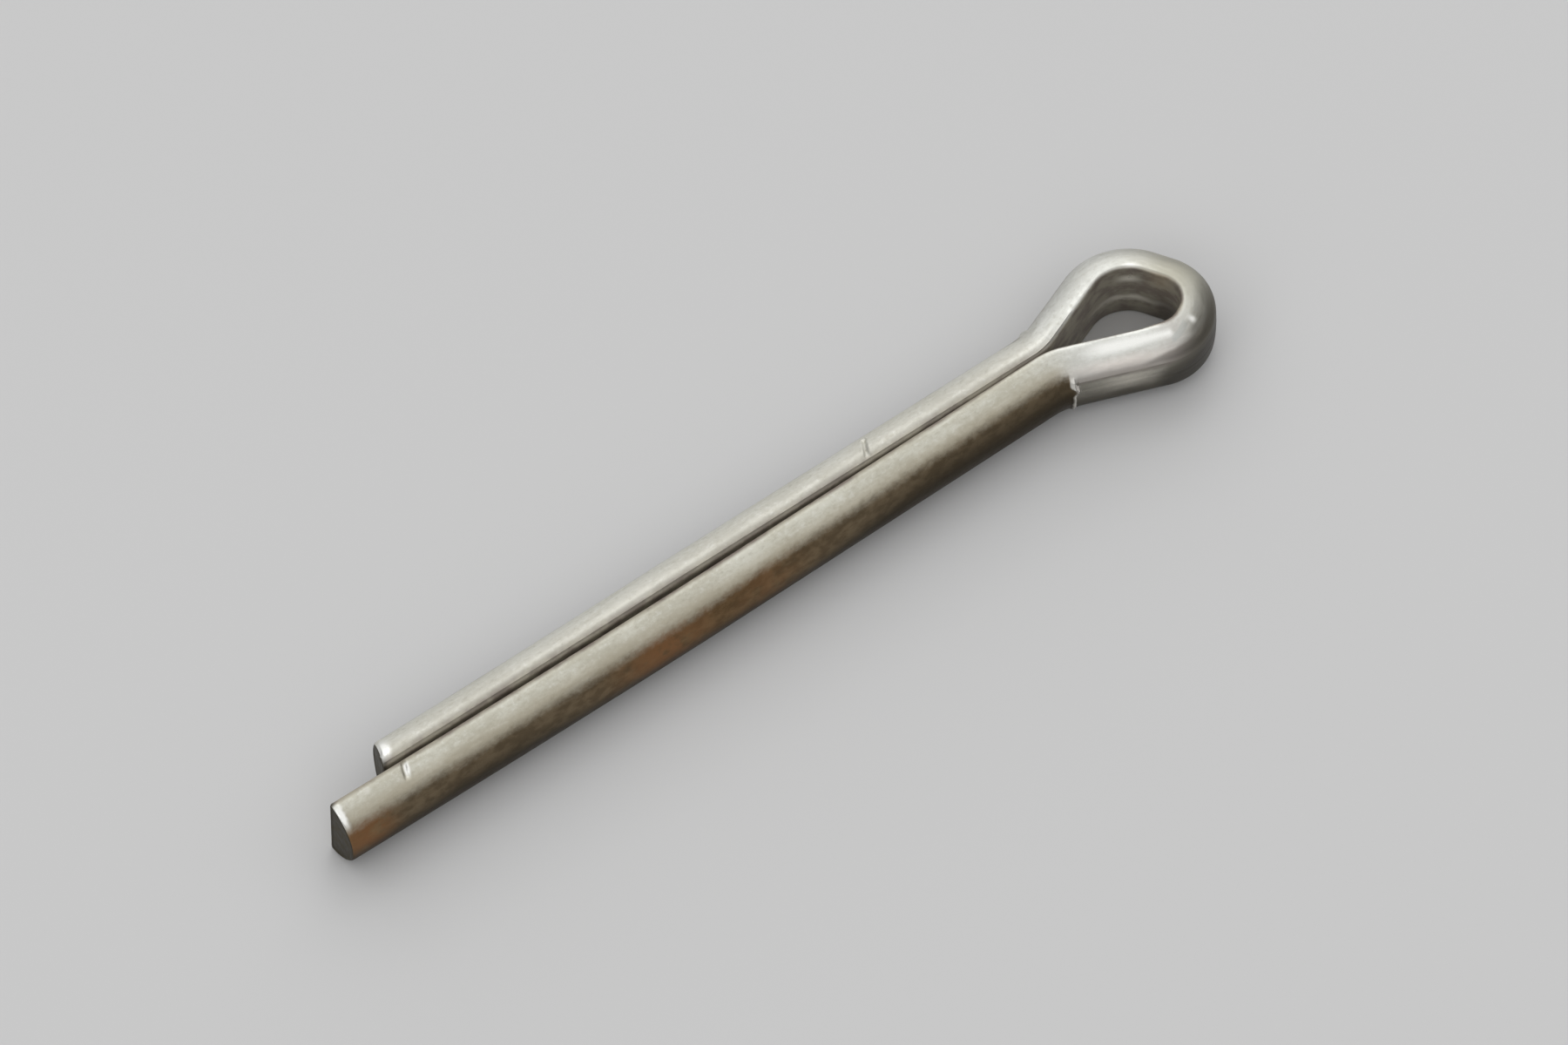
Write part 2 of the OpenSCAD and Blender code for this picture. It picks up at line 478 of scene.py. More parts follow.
def strike_nose(bar):
    """Flats that blows left on the bent nose: place past its start, angle round the wire, and depth."""
    for place, angle, depth in ((0.38, 67, 0.02), (0.62, 52, 0.014), (1.03, 63, 0.014), (0.02, 52, 0.01)):
        middle, heading = along_route(NOSE_X + place)
        left = Vector((-math.sin(heading), math.cos(heading), 0))
        up = Vector((0, 0, math.sin(math.radians(angle))))
        out = up - math.cos(math.radians(angle)) * left
        flat = middle.to_3d() + ROUND_OFF * left + (WIRE_R - depth) * out
        pick(bar, lambda co: (co - flat).length < 0.7 and (co - flat).dot(out) > 0)
        bpy.ops.transform.resize(
            value=(1, 1, 0),
            orient_type="GLOBAL",
            orient_matrix=out.to_track_quat("Z", "Y").to_matrix(),
            orient_matrix_type="GLOBAL",
            center_override=flat,
        )


def make_pin_wire():
    """The whole pin: made straight, bent, struck and scaled down to metres."""
    deselect_everything()
    bar = half_round_bar()
    for finish in (drawn_steel(), pressed_steel(), sheared_steel()):
        bar.data.materials.append(finish)
    shear_ends()
    roll_ends(bar)
    cut_rings(bar)
    flatten_eye(bar)
    raise_lips(bar)
    score_eye(bar)
    nick(bar, LONG_NICK, LONG_NICK_AT, LONG_NICK_REACH, LONG_NICK_LEAN)
    nick(bar, SHORT_NICK, SHORT_NICK_AT, SHORT_NICK_REACH, SHORT_NICK_LEAN)
    raise_burrs(bar)
    soften_short_prong(bar)
    swell_nose(bar)
    finish_pressed_face(bar)
    bend_wire(bar)
    strike_nose(bar)
    bpy.ops.mesh.select_all(action="SELECT")
    bpy.ops.transform.resize(value=(MM, MM, MM), center_override=(0, 0, 0))
    bpy.ops.object.mode_set(mode="OBJECT")
    bpy.ops.object.shade_smooth_by_angle(angle=CRISP_ANGLE)
    return bar


# ---------------------------------------------------------------- finishes

# Steel on the longer prong, round the eye and on the shorter prong: dull and pale
LONG_STEEL = (0.545, 0.525, 0.44, 1), (0.64, 0.63, 0.55, 1)
EYE_STEEL = (0.60, 0.60, 0.56, 1), (0.70, 0.705, 0.665, 1)
SHORT_STEEL = (0.64, 0.63, 0.56, 1), (0.73, 0.725, 0.66, 1)
PRESSED_STEEL = (0.63, 0.60, 0.53, 1), (0.74, 0.71, 0.63, 1)
DIM_STEEL = (0.26, 0.25, 0.215, 1), (0.33, 0.315, 0.27, 1)
# Painted shade: the cut ends are painted dark
SHADED_SHEARED_STEEL = (0.028, 0.022, 0.011, 1), (0.058, 0.048, 0.026, 1)
# Bare metal, also used for painted highlights
BARE_STEEL_AND_HIGHLIGHT = (0.93, 0.93, 0.89, 1)
PALE_SPECK = (0.80, 0.80, 0.76, 1)
DARK_SPECK = (0.40, 0.38, 0.31, 1)

# Wear and stains, and painted shade: a dull reflection on a struck flat, the crease, the nick's edge, and low
# on the pressed face
HANDLED = (0.50, 0.485, 0.43, 1)
WARM = (0.50, 0.44, 0.325, 1)
ROSY = (0.865, 0.812, 0.755, 1)
STRUCK = (0.465, 0.425, 0.395, 1)
DRAGGED = (0.30, 0.285, 0.26, 1)
# Painted dull reflection on the struck flat
STRUCK_FLAT_REFLECTION = (0.47, 0.485, 0.465, 1)
# Painted shade in the crease
CREASE_SHADE = (0.27, 0.24, 0.215, 1)
STAINED = (0.40, 0.385, 0.315, 1)
# Painted shadow at the nick's edge
NICK_SHADOW = (0.28, 0.26, 0.21, 1)
# Painted shade low on the pressed face
PRESSED_LOW_SHADE = (0.42, 0.39, 0.34, 1)
SCORES = (0.30, 0.275, 0.25, 1)

# Tarnish, in pairs of dark and pale where it is blotched, and rust; the flanks' dark colours are partly
# painted shade, and the shorter prong's, the eye's and the underside's are painted shade
OLIVE = (0.145, 0.109, 0.067, 1), (0.215, 0.165, 0.104, 1)
BROWN = (0.155, 0.094, 0.043, 1), (0.23, 0.14, 0.065, 1)
SHORT_PRONG_SHADE = (0.11, 0.105, 0.09, 1), (0.17, 0.165, 0.145, 1)
EYE_SHADE, DEEP_EYE_SHADE = (0.13, 0.12, 0.098, 1), (0.082, 0.076, 0.064, 1)
TIP_BROWN = (0.33, 0.185, 0.078, 1)
RUST = (0.27, 0.14, 0.064, 1)
UNDERSIDE_SHADE = (0.052, 0.04, 0.025, 1)

# Grime on the flat side; the deep and end colours are partly painted shade, low in the eye and by the cut
# ends
GRIME = (0.21, 0.175, 0.145, 1), (0.36, 0.33, 0.26, 1)
WIPED = (0.78, 0.75, 0.66, 1)
WARM_GRIME = (0.52, 0.41, 0.27, 1)
LOW_GRIME_AND_SHADE = (0.075, 0.058, 0.044, 1)
END_GRIME_AND_SHADE = (0.07, 0.06, 0.045, 1)

# Where brown, rust and the high painted shade underneath lie along the straight wire
TIP_BROWN_X = 0.6
TIP_RUST_X = 0.7
HIGH_SHADE_X = 5.5
RUST_X = LONG_LEN - 15.6
FAINT_RUST_X = LONG_LEN - 11.6
BROWN_X = LONG_LEN - 13.8


class Nodes:
    """A small bench for joining shader nodes in one tree."""

    def __init__(self, tree):
        self.tree = tree

    def add(self, kind, **settings):
        node = self.tree.nodes.new(kind)
        for name, value in settings.items():
            setattr(node, name, value)
        return node

    def feed(self, socket, value):
        if isinstance(value, bpy.types.NodeSocket):
            self.tree.links.new(value, socket)
        else:
            socket.default_value = value

    def math(self, operation, *values, clamp=False):
        node = self.add("ShaderNodeMath", operation=operation, use_clamp=clamp)
        for socket, value in zip(node.inputs, values):
            self.feed(socket, value)
        return node.outputs[0]

    def plus(self, first, second, clamp=False):
        return self.math("ADD", first, second, clamp=clamp)

    def minus(self, first, second):
        return self.math("SUBTRACT", first, second)

    def times(self, first, second, clamp=False):
        return self.math("MULTIPLY", first, second, clamp=clamp)

    def size(self, value):
        return self.math("ABSOLUTE", value)

    def fade(self, value, start, end, low=0.0, high=1.0):
        """low before start, high after end, and smooth between them."""
        node = self.add("ShaderNodeMapRange", interpolation_type="SMOOTHSTEP")
        for socket, number in zip(node.inputs, (value, start, end, low, high)):
            self.feed(socket, number)
        return node.outputs[0]

    def near(self, value, place, half_width):
        """1 at a place and 0 further off than a half width."""
        return self.fade(self.size(self.minus(value, place)), 0.0, half_width, 1.0, 0.0)

    def within(self, value, start, end):
        """1 between two places and 0 outside them."""
        return self.times(self.math("GREATER_THAN", value, start), self.math("LESS_THAN", value, end))

    def mix(self, share, first, second):
        node = self.add("ShaderNodeMix", data_type="RGBA")
        self.feed(node.inputs["Factor"], share)
        self.feed(node.inputs[6], first)
        self.feed(node.inputs[7], second)
        return node.outputs[2]

    def split(self, place):
        parts = self.add("ShaderNodeSeparateXYZ")
        self.feed(parts.inputs[0], place)
        return parts.outputs

    def noise(self, place, stretch, scale, detail=2.0, roughness=0.5):
        """Noise from 0 to 1 over the straight wire's places, drawn out along X."""
        mapping = self.add("ShaderNodeMapping")
        self.feed(mapping.inputs["Vector"], place)
        mapping.inputs["Scale"].default_value = (scale / stretch, scale, scale)
        node = self.add("ShaderNodeTexNoise")
        self.feed(node.inputs["Vector"], mapping.outputs[0])
        node.inputs["Scale"].default_value = 1.0
        node.inputs["Detail"].default_value = detail
        node.inputs["Roughness"].default_value = roughness
        return node.outputs["Fac"]

    def sway(self, noise, width):
        """A noise as a sway of a given width about 0."""
        return self.times(self.minus(noise, 0.5), width)


class Finish(Nodes):
    """A steel's bench, with its shader and the straight wire's places at hand."""

    def __init__(self, name):
        self.material = bpy.data.materials.new(name)
        self.material.use_nodes = True
        super().__init__(self.material.node_tree)
        self.shader = self.tree.nodes["Principled BSDF"]
        self.shader.inputs["Metallic"].default_value = 1
        self.place = self.add("ShaderNodeAttribute", attribute_name="straight").outputs["Vector"]

    def shared(self, group):
        """What a shared group gives at the wire's places."""
        node = self.add("ShaderNodeGroup", node_tree=group)
        self.feed(node.inputs["Place"], self.place)
        return node.outputs

    def bump(self, height, depth):
        """Lets a height from 0 to 1 stand a depth in millimetres high."""
        node = self.add("ShaderNodeBump")
        node.inputs["Strength"].default_value = 1
        node.inputs["Distance"].default_value = depth * MM
        self.feed(node.inputs["Height"], height)
        self.feed(self.shader.inputs["Normal"], node.outputs[0])

    def find_edges(self, x, z):
        """Keeps a ragged share, and with it the distances past both prongs' lips."""
        self.ragged = self.sway(self.noise(self.place, 1, 3.5, 2.0), 0.45)
        step = self.times(self.near(z, STEP_Z, STEP_HALF), STEP_OUT)
        place = self.plus(x, self.times(self.ragged, 0.3))
        self.past_long = self.minus(self.minus(place, LONG_LIP), step)
        self.past_short = self.minus(place, SHORT_LIP)


def start_group(name, *outputs):
    """A shared group that takes the straight wire's places and gives numbers from 0 to 1."""
    group = bpy.data.node_groups.new(name, "ShaderNodeTree")
    group.interface.new_socket("Place", in_out="INPUT", socket_type="NodeSocketVector")
    for output in outputs:
        group.interface.new_socket(output, in_out="OUTPUT", socket_type="NodeSocketFloat")
    bench = Nodes(group)
    return bench, bench.add("NodeGroupInput").outputs["Place"], bench.add("NodeGroupOutput").inputs


def grain_group():
    """Drawing marks along the wire: a tone and a height that both vary from 0 to 1."""
    bench, place, out = start_group("drawn_grain", "Tone", "Height")
    streaks = bench.noise(place, 10, 7, 3.0)
    specks = bench.noise(place, 1.5, 8, 4.0, 0.7)
    cloud = bench.noise(place, 2.5, 1.3, 3.0)
    tone = bench.plus(bench.times(streaks, 0.2), bench.times(specks, 0.35))
    bench.feed(out["Tone"], bench.plus(tone, bench.times(cloud, 0.45)))
    fine = bench.noise(place, 12, 16, 2.0)
    peel = bench.noise(place, 1.4, 4.5, 2.0)
    bench.feed(out["Height"], bench.plus(bench.times(fine, 0.25), bench.times(peel, 0.75)))
    return bench.tree


def eye_shade_group():
    """Painted shade on the eye's outside: from 0 where it is pale to 1 low down and round the nose."""
    bench, place, out = start_group("eye_tarnish", "Tarnish", "Deep")
    x, y, z = bench.split(place)
    rise = bench.fade(x, NOSE_X - 0.7, NOSE_X + 0.75, 0.0, 1.4)
    fall = bench.fade(x, NOSE_X + 0.8, CROWN_X + 0.3, 0.0, 1.25)
    wander = bench.sway(bench.noise(place, 3, 1.6, 3.0), 0.5)
    depth = bench.minus(bench.minus(rise, fall), bench.plus(z, wander))
    darkening = bench.times(bench.fade(depth, -0.25, 0.6), bench.within(x, LONG_LIP, SHORT_LIP))
    bench.feed(out["Tarnish"], bench.times(darkening, bench.fade(y, -0.5, -0.25, 1.0, 0.0)))
    bench.feed(out["Deep"], bench.fade(depth, 0.45, 1.05))
    return bench.tree


GRAIN_GROUP = grain_group()
EYE_SHADE_GROUP = eye_shade_group()


def shade_eye(bench, colour):
    """Lays the eye's painted shade over a colour."""
    darkening = bench.shared(EYE_SHADE_GROUP)
    brown = bench.mix(darkening["Deep"], EYE_SHADE, DEEP_EYE_SHADE)
    return bench.mix(darkening["Tarnish"], colour, brown)


def plain_steel(bench, tone, past_arm, past_eye, y):
    """The steel itself, with its specks: paler past the arm, and on the shorter prong dulled by hands."""
    dull, pale = (
        bench.mix(past_eye, bench.mix(past_arm, long_prong, eye), short_prong)
        for long_prong, eye, short_prong in zip(LONG_STEEL, EYE_STEEL, SHORT_STEEL)
    )
    colour = bench.mix(tone, dull, pale)
    handled = bench.times(past_eye, bench.fade(y, -0.9, -0.4, 0.0, 0.6))
    colour = bench.mix(handled, colour, HANDLED)
    speckle = bench.noise(bench.place, 1.3, 6.5, 2.0, 0.6)
    colour = bench.mix(bench.fade(speckle, 0.54, 0.74, 0.0, 0.3), colour, PALE_SPECK)
    return bench.mix(bench.fade(speckle, 0.26, 0.46, 0.3, 0.0), colour, DARK_SPECK)


def tint_steel(bench, colour, x, z, around):
    """A warmer band above the longer prong's tarnish and painted shade, and a rosy tint low round the eye's
    arm.
    """
    warm = bench.fade(around, math.radians(48), math.radians(72), 0.62, 0.0)
    warm = bench.times(warm, bench.fade(x, ARM_X - 0.8, ARM_X + 0.2, 1.0, 0.0))
    colour = bench.mix(warm, colour, WARM)
    rosy = bench.times(bench.near(x, ARM_X + 1.9, 3.2), bench.fade(z, 1.0, 1.25, 1.0, 0.0))
    return bench.mix(rosy, colour, ROSY)


def scuff_nose(bench, colour, x, degrees):
    """The start of the nose is dulled by blows and dragged over, and a flat aslant gets a painted dull
    reflection.
    """
    colour = bench.mix(bench.times(bench.near(x, NOSE_X + 0.22, 0.8), 0.38), colour, STRUCK)
    drag = bench.fade(bench.noise(bench.place, 5, 6.5, 2.0), 0.45, 0.6)
    drag = bench.times(drag, bench.near(x, NOSE_X + 0.75, 0.8))
    drag = bench.times(drag, bench.near(degrees, 52, 16))
    colour = bench.mix(bench.times(drag, 0.6), colour, DRAGGED)
    # A painted dull reflection on a struck flat
    past_flat = bench.minus(x, NOSE_X + 0.35)
    off_flat = bench.minus(bench.minus(degrees, 66), bench.times(past_flat, 24))
    flat = bench.times(
        bench.fade(bench.size(off_flat), 3.5, 6.0, 0.6, 0.0),
        bench.fade(bench.size(past_flat), 0.19, 0.27, 1.0, 0.0),
    )
    return bench.mix(flat, colour, STRUCK_FLAT_REFLECTION)


def shade_crease_eye(bench, colour, x, y, z):
    """Painted shade in the crease above the pressed face, widest at the start of the nose, and a stain past
    it.
    """
    widened = bench.times(bench.near(x, NOSE_X + 0.5, 1.5), 0.22)
    crease_shade = bench.fade(bench.minus(y, widened), -1.1, -0.99, 1.0, 0.0)
    crease_shade = bench.times(crease_shade, bench.fade(widened, 0.08, 0.2, 0.62, 0.82))
    crease_shade = bench.times(crease_shade, bench.math("GREATER_THAN", z, 0))
    colour = bench.mix(bench.times(crease_shade, bench.within(x, LONG_LIP, SHORT_LIP)), colour, CREASE_SHADE)
    return bench.mix(bench.times(bench.near(x, CHORD_X - 0.1, 2.2), 0.9), colour, STAINED)


def flank_shade_share(bench, past_eye, x, z, around):
    """Where the tarnish and painted shade lie: low on the flanks of both prongs, lower still on the shorter
    one.
    """
    wander = bench.sway(bench.noise(bench.place, 3, 1.0, 2.0), 0.2)
    jagged = bench.sway(bench.noise(bench.place, 1.5, 6.0, 4.0, 0.7), 0.25)
    low = bench.plus(around, bench.plus(wander, jagged))
    low = bench.plus(low, bench.fade(x, LONG_LEN - 15, LONG_LEN - 9, math.radians(3.5), 0.0))
    low = bench.plus(low, bench.times(past_eye, math.radians(20)))
    # Painted shade: the flank is dark below about 37 to 55 degrees round the wire
    flank = bench.fade(low, math.radians(37), math.radians(55), 1.0, 0.0)
    torn = bench.minus(bench.past_long, bench.fade(z, 0.35, 0.75, 0.1, 0.0))
    before_lip = bench.fade(torn, -0.24, -0.12, 1.0, 0.0)
    after_lip = bench.fade(bench.past_short, 0.3, 0.9)
    return bench.times(flank, bench.plus(before_lip, after_lip))


def flank_shade_and_tarnish(bench, tone, past_eye, x, z):
    """Blotched olive and brown tarnish, rusty in three places, with painted shade darkest underneath and a
    painted grey shade past the eye.
    """
    blotch = bench.fade(bench.noise(bench.place, 1.8, 3.2, 4.0, 0.6), 0.38, 0.62)
    brown = bench.times(bench.near(x, BROWN_X, 6.5), 0.8)
    darkening = bench.mix(brown, bench.mix(blotch, *OLIVE), bench.mix(blotch, *BROWN))
    darkening = bench.mix(bench.times(bench.near(x, TIP_BROWN_X, 1.3), 0.6), darkening, TIP_BROWN)
    rust = bench.plus(bench.near(x, RUST_X, 2.6), bench.near(x, TIP_RUST_X, 1.6))
    rust = bench.plus(rust, bench.times(bench.near(x, FAINT_RUST_X, 1.9), 0.45))
    patchy = bench.fade(bench.noise(bench.place, 1.6, 2.4, 4.0, 0.6), 0.32, 0.56)
    darkening = bench.mix(bench.times(rust, patchy, clamp=True), darkening, RUST)
    # The painted shade underneath reaches higher near the eye and behind the tip
    reach_up = bench.fade(x, LONG_LEN - 11, LONG_LEN - 4.3, 0.0, 0.65)
    reach_up = bench.plus(reach_up, bench.times(bench.near(x, HIGH_SHADE_X, 5.0), 0.4))
    painted_underside_shade = bench.fade(bench.minus(z, reach_up), -0.5, 0.45, 1.0, 0.0)
    darkening = bench.mix(painted_underside_shade, darkening, UNDERSIDE_SHADE)
    # Past the eye the flank gets a painted grey shade
    return bench.mix(past_eye, darkening, bench.mix(tone, *SHORT_PRONG_SHADE))


def crest_bare_and_highlight(bench, y, z):
    """The crests of both lips: bare metal with a painted highlight."""
    crest_highlight = bench.plus(bench.near(bench.past_long, -0.05, 0.2), bench.near(bench.past_short, 0.0, 0.2))
    crest_highlight = bench.times(crest_highlight, bench.fade(y, -1.05, -0.9, 1.0, 0.0))
    return bench.times(crest_highlight, bench.fade(z, 0.3, 0.85, 0.0, 0.25))


def rim_bare_and_highlight(bench, x, from_end, degrees):
    """The rolled edges of the cut ends: bare metal with a painted highlight."""
    torn = bench.times(bench.ragged, 0.6)
    long_rim = bench.fade(bench.plus(x, torn), 0.14, 0.32, 1.0, 0.0)
    short_rim = bench.fade(bench.plus(from_end, torn), 0.22, 0.55, 1.0, 0.0)
    long_rim = bench.times(long_rim, bench.near(degrees, 64, 28))
    short_rim = bench.times(short_rim, bench.near(degrees, 66, 30))
    return bench.times(bench.plus(long_rim, short_rim), 1.4, clamp=True)


def nick_highlight_and_shadow(bench, x, degrees):
    """The longer prong's nick and a fleck near its tip, bare with a painted highlight, and a painted shadow
    at the nick's edge.
    """
    lean = bench.times(bench.minus(degrees, LONG_NICK_AT), LONG_NICK_LEAN)
    from_nick = bench.minus(bench.minus(x, LONG_NICK), lean)
    across = bench.near(degrees, LONG_NICK_AT, 15)
    bright = bench.times(bench.times(bench.near(from_nick, 0.07, 0.15), across), 1.6, clamp=True)
    x_torn = bench.plus(x, bench.times(bench.ragged, 0.6))
    fleck = bench.times(bench.near(x_torn, 1.25, 0.2), bench.near(degrees, 76, 9))
    dark = bench.times(bench.near(from_nick, -0.1, 0.09), across)
    return bench.plus(bright, bench.times(fleck, 0.3)), bench.times(dark, 0.7)


def rubbed_eye_highlight(bench, x, y, degrees):
    """A painted highlight along the eye's inner edge, partly rubbed bare, in a band that narrows along the
    arm, and painted glints in two spots.
    """
    on_arm = bench.times(
        bench.fade(x, ARM_X + 0.2, ARM_X + 1.4),
        bench.fade(x, NOSE_X + 0.1, NOSE_X + 0.24, 1.0, 0.0),
    )
    taper = bench.fade(x, ARM_X + 1.9, NOSE_X + 0.1, 0.0, 0.065)
    off_band = bench.minus(bench.plus(y, 0.42), bench.times(taper, 0.4))
    off_band = bench.plus(bench.size(off_band), taper)
    highlight_band = bench.times(on_arm, bench.fade(off_band, 0.05, 0.28, 1.0, 0.0))
    # Painted glints on the crown and the nose
    crown_glint = bench.times(bench.near(x, CROWN_X + 0.44, 0.4), bench.fade(y, -0.3, -0.1, 0.0, 0.5))
    nose_glint = bench.times(bench.near(x, NOSE_X + 0.73, 0.11), bench.near(degrees, 67, 9))
    return bench.plus(bench.plus(highlight_band, crown_glint), bench.times(nose_glint, 0.8))


def grime_cover(bench, past_eye, x, y):
    """How much grime covers the flat side, thinning out over the prongs' inner edges, where it is also
    painted shade beside the gap.
    """
    reach = bench.fade(x, AT["short_neck"][0] + 8, WIRE_LEN, 0.15, 0.2)
    on_long = bench.fade(x, AT["long_neck"][1] - 4, AT["long_neck"][1], 0.1, 0.0)
    # Over the inner edges beside the gap, the grime is also painted shade
    inside = bench.fade(bench.plus(y, on_long), -0.12, 0.02)
    soot_and_gap_shade = bench.fade(bench.plus(y, reach), -0.2, 0.2)
    return bench.mix(past_eye, inside, soot_and_gap_shade)


def flat_grime(bench, x, z, from_end):
    """Smudged grime: wiped paler in a line and a patch by the crown; darker low in the eye and by the cut
    ends, partly grime and partly painted shade.
    """
    smudge = bench.noise(bench.place, 1.6, 1.9, 3.0, 0.6)
    grime = bench.mix(bench.fade(smudge, 0.38, 0.62), *GRIME)
    line_z = bench.plus(z, bench.sway(smudge, 0.5))
    line = bench.times(bench.near(line_z, -0.40, 0.27), bench.near(x, CROWN_X + 0.4, 2.2))
    patch = bench.times(bench.near(z, 0.72, 0.3), bench.near(x, CROWN_X + 0.5, 0.6))
    grime = bench.mix(bench.plus(line, patch, clamp=True), grime, WIPED)
    warm_end = bench.times(bench.near(x, CHORD_X + 0.1, 0.7), bench.fade(z, 0.3, 1.0, 0.0, 0.35))
    grime = bench.mix(warm_end, grime, WARM_GRIME)
    # Partly painted shade: darker low in the eye and by the cut ends
    by_nose = bench.times(bench.near(x, AT["nose"][1] - 0.3, 1.3), bench.fade(z, -0.45, 0.3, 0.7, 0.0))
    by_crown = bench.times(bench.near(x, CROWN_X + 0.4, 2.2), bench.fade(z, -1.3, -0.75, 0.45, 0.0))
    grime = bench.mix(bench.plus(by_nose, by_crown, clamp=True), grime, LOW_GRIME_AND_SHADE)
    by_ends = bench.plus(bench.fade(x, 0.05, 0.25, 1.0, 0.0), bench.fade(from_end, 0.05, 0.25, 1.0, 0.0))
    return bench.mix(by_ends, grime, END_GRIME_AND_SHADE)


def drawn_steel():
    """The wire's own surface: steel and its wear, tarnish and painted shade low on the flanks, bare metal
    with painted highlights, and grime inside.
    """
    bench = Finish("drawn_steel")
    grain = bench.shared(GRAIN_GROUP)
    x, y, z = bench.split(bench.place)
    bench.find_edges(x, z)
    around = bench.math("ARCTAN2", z, bench.minus(ROUND_OFF, y))
    degrees = bench.math("DEGREES", around)
    tone = bench.fade(grain["Tone"], 0.40, 0.62)
    past_arm = bench.fade(x, ARM_X - 2.0, ARM_X + 0.8)
    past_eye = bench.fade(x, SHORT_LIP - 0.8, SHORT_LIP + 2.0)
    from_end = bench.minus(WIRE_LEN, bench.plus(x, bench.times(y, -math.tan(TIP_SLANT))))

    colour = plain_steel(bench, tone, past_arm, past_eye, y)
    colour = tint_steel(bench, colour, x, z, around)
    colour = scuff_nose(bench, colour, x, degrees)
    colour = shade_crease_eye(bench, colour, x, y, z)
    flank = flank_shade_share(bench, past_eye, x, z, around)
    colour = bench.mix(flank, colour, flank_shade_and_tarnish(bench, tone, past_eye, x, z))
    # The eye's painted shade, darker low down and round the nose
    colour = shade_eye(bench, colour)

    bright_nick_and_highlight, nick_shadow = nick_highlight_and_shadow(bench, x, degrees)
    # Painted shadow at the nick's edge
    colour = bench.mix(nick_shadow, colour, NICK_SHADOW)
    # Bare metal and painted highlights, only on the upper side where the light falls
    lit_upper_side = bench.fade(z, 0.3, 0.9)
    bare_and_highlight = crest_bare_and_highlight(bench, y, z)
    for worn_and_highlight in (rim_bare_and_highlight(bench, x, from_end, degrees), bright_nick_and_highlight, rubbed_eye_highlight(bench, x, y, degrees)):
        bare_and_highlight = bench.plus(bare_and_highlight, bench.times(worn_and_highlight, lit_upper_side), clamp=True)
    colour = bench.mix(bare_and_highlight, colour, BARE_STEEL_AND_HIGHLIGHT)

    cover = grime_cover(bench, past_eye, x, y)
    colour = bench.mix(cover, colour, flat_grime(bench, x, z, from_end))
    bench.feed(bench.shader.inputs["Base Color"], colour)
    bench.feed(bench.shader.inputs["Metallic"], bench.fade(cover, 0.3, 1.0, 1.0, 0.25))
    rough = bench.plus(bench.fade(tone, 0.0, 1.0, 0.52, 0.44), bench.times(flank, 0.04))
    rough = bench.minus(rough, bench.times(bench.minus(past_arm, past_eye), 0.1))
    bench.feed(bench.shader.inputs["Roughness"], bench.minus(rough, bench.times(bare_and_highlight, 0.16)))
    bench.bump(grain["Height"], 0.012)
    return bench.material


def pressed_steel():
    """The flat that the die left round the outside of the eye: dim on both arms, with scores along it, and
    painted shade in the crease, low down and round the nose.
    """
    bench = Finish("pressed_steel")
    grain = bench.shared(GRAIN_GROUP)
    x, _, z = bench.split(bench.place)
    bench.find_edges(x, z)
    tone = bench.fade(grain["Tone"], 0.40, 0.62)
    mid_arms = bench.plus(bench.near(x, ARM_X + 1.95, 1.6), bench.near(x, SHORT_LIP - 1.6, 1.6))
    colour = bench.mix(mid_arms, bench.mix(tone, *DIM_STEEL), bench.mix(tone, *PRESSED_STEEL))
    # Painted shade: darker towards the bottom
    colour = bench.mix(bench.fade(z, -0.7, 0.3, 0.7, 0.0), colour, PRESSED_LOW_SHADE)
    scores = bench.noise(bench.place, 6, 3.2, 3.0, 0.6)
    wander = bench.sway(bench.noise(bench.place, 2, 1.4, 3.0), 0.5)
    # Painted shade along the crease, broken up by the scores
    crease_shade = bench.near(bench.plus(z, wander), 0.68, 0.22)
    crease_shade = bench.times(crease_shade, bench.fade(scores, 0.35, 0.6, 0.3, 0.75))
    colour = bench.mix(crease_shade, colour, CREASE_SHADE)
    dark = bench.times(bench.fade(scores, 0.52, 0.66), bench.near(z, 0.4, 0.5))
    # The eye's painted shade
    colour = shade_eye(bench, bench.mix(dark, colour, SCORES))
    # Bare lip crests with a painted highlight
    lip_highlight = bench.plus(
        bench.fade(bench.past_long, 0.03, 0.12, 1.0, 0.0), bench.fade(bench.past_short, -0.16, -0.06)
    )
    lip_highlight = bench.times(lip_highlight, bench.fade(z, 0.3, 0.85, 0.1, 0.35))
    bench.feed(bench.shader.inputs["Base Color"], bench.mix(lip_highlight, colour, BARE_STEEL_AND_HIGHLIGHT))
    bench.feed(bench.shader.inputs["Roughness"], bench.fade(scores, 0.3, 0.7, 0.42, 0.52))
    bench.bump(grain["Height"], 0.01)
    return bench.material


def sheared_steel():
    """The cut ends: painted dark as shade, and coarse, with the shear's marks across."""
    bench = Finish("sheared_steel")
    marks = bench.noise(bench.place, 1, 3.5, 4.0, 0.65)
    bench.feed(bench.shader.inputs["Base Color"], bench.mix(bench.fade(marks, 0.35, 0.65), *SHADED_SHEARED_STEEL))
    bench.shader.inputs["Metallic"].default_value = 0.5
    bench.feed(bench.shader.inputs["Roughness"], bench.fade(marks, 0.3, 0.7, 0.45, 0.65))
    bench.bump(marks, 0.02)
    return bench.material


# ---------------------------------------------------------------- studio

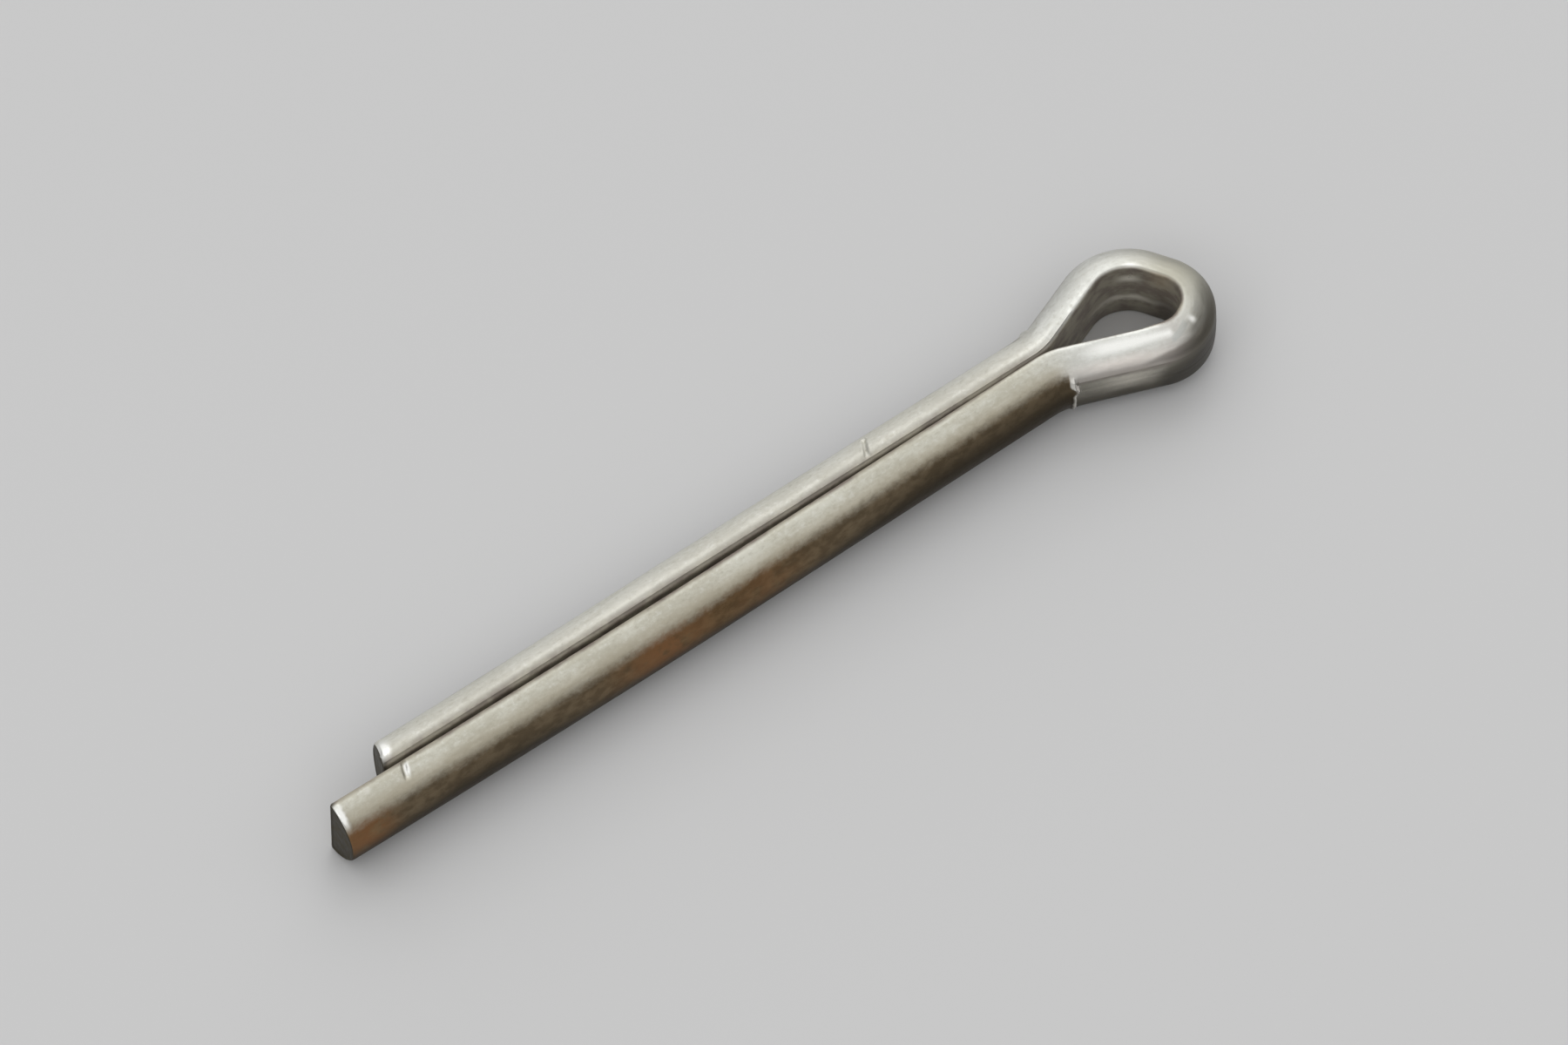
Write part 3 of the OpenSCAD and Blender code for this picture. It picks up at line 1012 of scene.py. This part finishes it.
# Softboxes: name, place, width, height, brightness and aim, in metres
SOFTBOXES = (
    ("top_softbox", (-0.15, -0.3, 1.0), 3.0, 3.2, 0.62, (-0.15, -0.3, 0)),
    ("back_softbox", (-0.8, -1.15, 0.45), 2.2, 1.2, 0.72, (0, 0, 0)),
    ("key_softbox", (-0.4, -0.5, 0.95), 0.45, 0.45, 1.1, (0, 0, 0)),
    ("front_softbox", (0.45, 1.1, 0.7), 0.45, 0.4, 0.8, (0, 0, 0)),
    ("tip_softbox", (1.1, 0.2, 0.7), 0.7, 0.7, 0.7, (0, 0, 0)),
)
SKY_BRIGHTNESS = 0.32
FLOOR_SIZE = 8
PAPER = (0.62, 0.62, 0.62, 1)
PAPER_ROUGHNESS = 0.8

# The camera: which way it looks from, how far away, and where on the floor it aims, in millimetres
CAMERA_AZIMUTH = math.radians(143.712)
CAMERA_ELEVATION = math.radians(60.015)
CAMERA_AWAY = 675.9
CAMERA_AIM_X, CAMERA_AIM_Y = 9.157, -1.100
CAMERA_LENS = 484.372
CAMERA_SENSOR = 36


def make_floor():
    deselect_everything()
    bpy.ops.mesh.primitive_plane_add(size=FLOOR_SIZE, location=(0, 0, pin_low.z))
    floor = bpy.context.object
    floor.name = "floor"
    paper = bpy.data.materials.new("pale_paper")
    paper.use_nodes = True
    shader = paper.node_tree.nodes["Principled BSDF"]
    shader.inputs["Base Color"].default_value = PAPER
    shader.inputs["Roughness"].default_value = PAPER_ROUGHNESS
    floor.data.materials.append(paper)


def hang_softbox(name, place, width, height, brightness, aim):
    """A softbox that faces its aim, as bright as a white of that strength."""
    softbox = bpy.data.lights.new(name, "AREA")
    softbox.shape = "RECTANGLE"
    softbox.size, softbox.size_y = width, height
    softbox.energy = brightness * math.pi * width * height
    lamp = bpy.data.objects.new(name, softbox)
    bpy.context.scene.collection.objects.link(lamp)
    lamp.location = place
    lamp.rotation_euler = (Vector(aim) - lamp.location).to_track_quat("-Z", "Y").to_euler()


def make_lights():
    world = bpy.data.worlds.new("studio")
    bpy.context.scene.world = world
    world.use_nodes = True
    background = world.node_tree.nodes["Background"]
    background.inputs["Color"].default_value = (1, 1, 1, 1)
    background.inputs["Strength"].default_value = SKY_BRIGHTNESS
    for softbox in SOFTBOXES:
        hang_softbox(*softbox)


def make_camera():
    back = Vector(
        (
            math.sin(CAMERA_AZIMUTH) * math.cos(CAMERA_ELEVATION),
            -math.cos(CAMERA_AZIMUTH) * math.cos(CAMERA_ELEVATION),
            math.sin(CAMERA_ELEVATION),
        )
    )
    aim = Vector((CAMERA_AIM_X * MM, CAMERA_AIM_Y * MM, pin_low.z))
    camera_data = bpy.data.cameras.new("camera")
    camera = bpy.data.objects.new("camera", camera_data)
    bpy.context.scene.collection.objects.link(camera)
    camera.location = aim + back * CAMERA_AWAY * MM
    camera.rotation_euler = back.to_track_quat("Z", "Y").to_euler()
    camera_data.sensor_width = CAMERA_SENSOR
    camera_data.lens = CAMERA_LENS
    camera_data.clip_start, camera_data.clip_end = 0.01, 10
    bpy.context.scene.camera = camera


make_camera()
pin_wire = make_pin_wire()
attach(pin_wire, "root")
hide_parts("pin")
make_floor()
make_lights()
bpy.context.scene.view_settings.view_transform = "Standard"
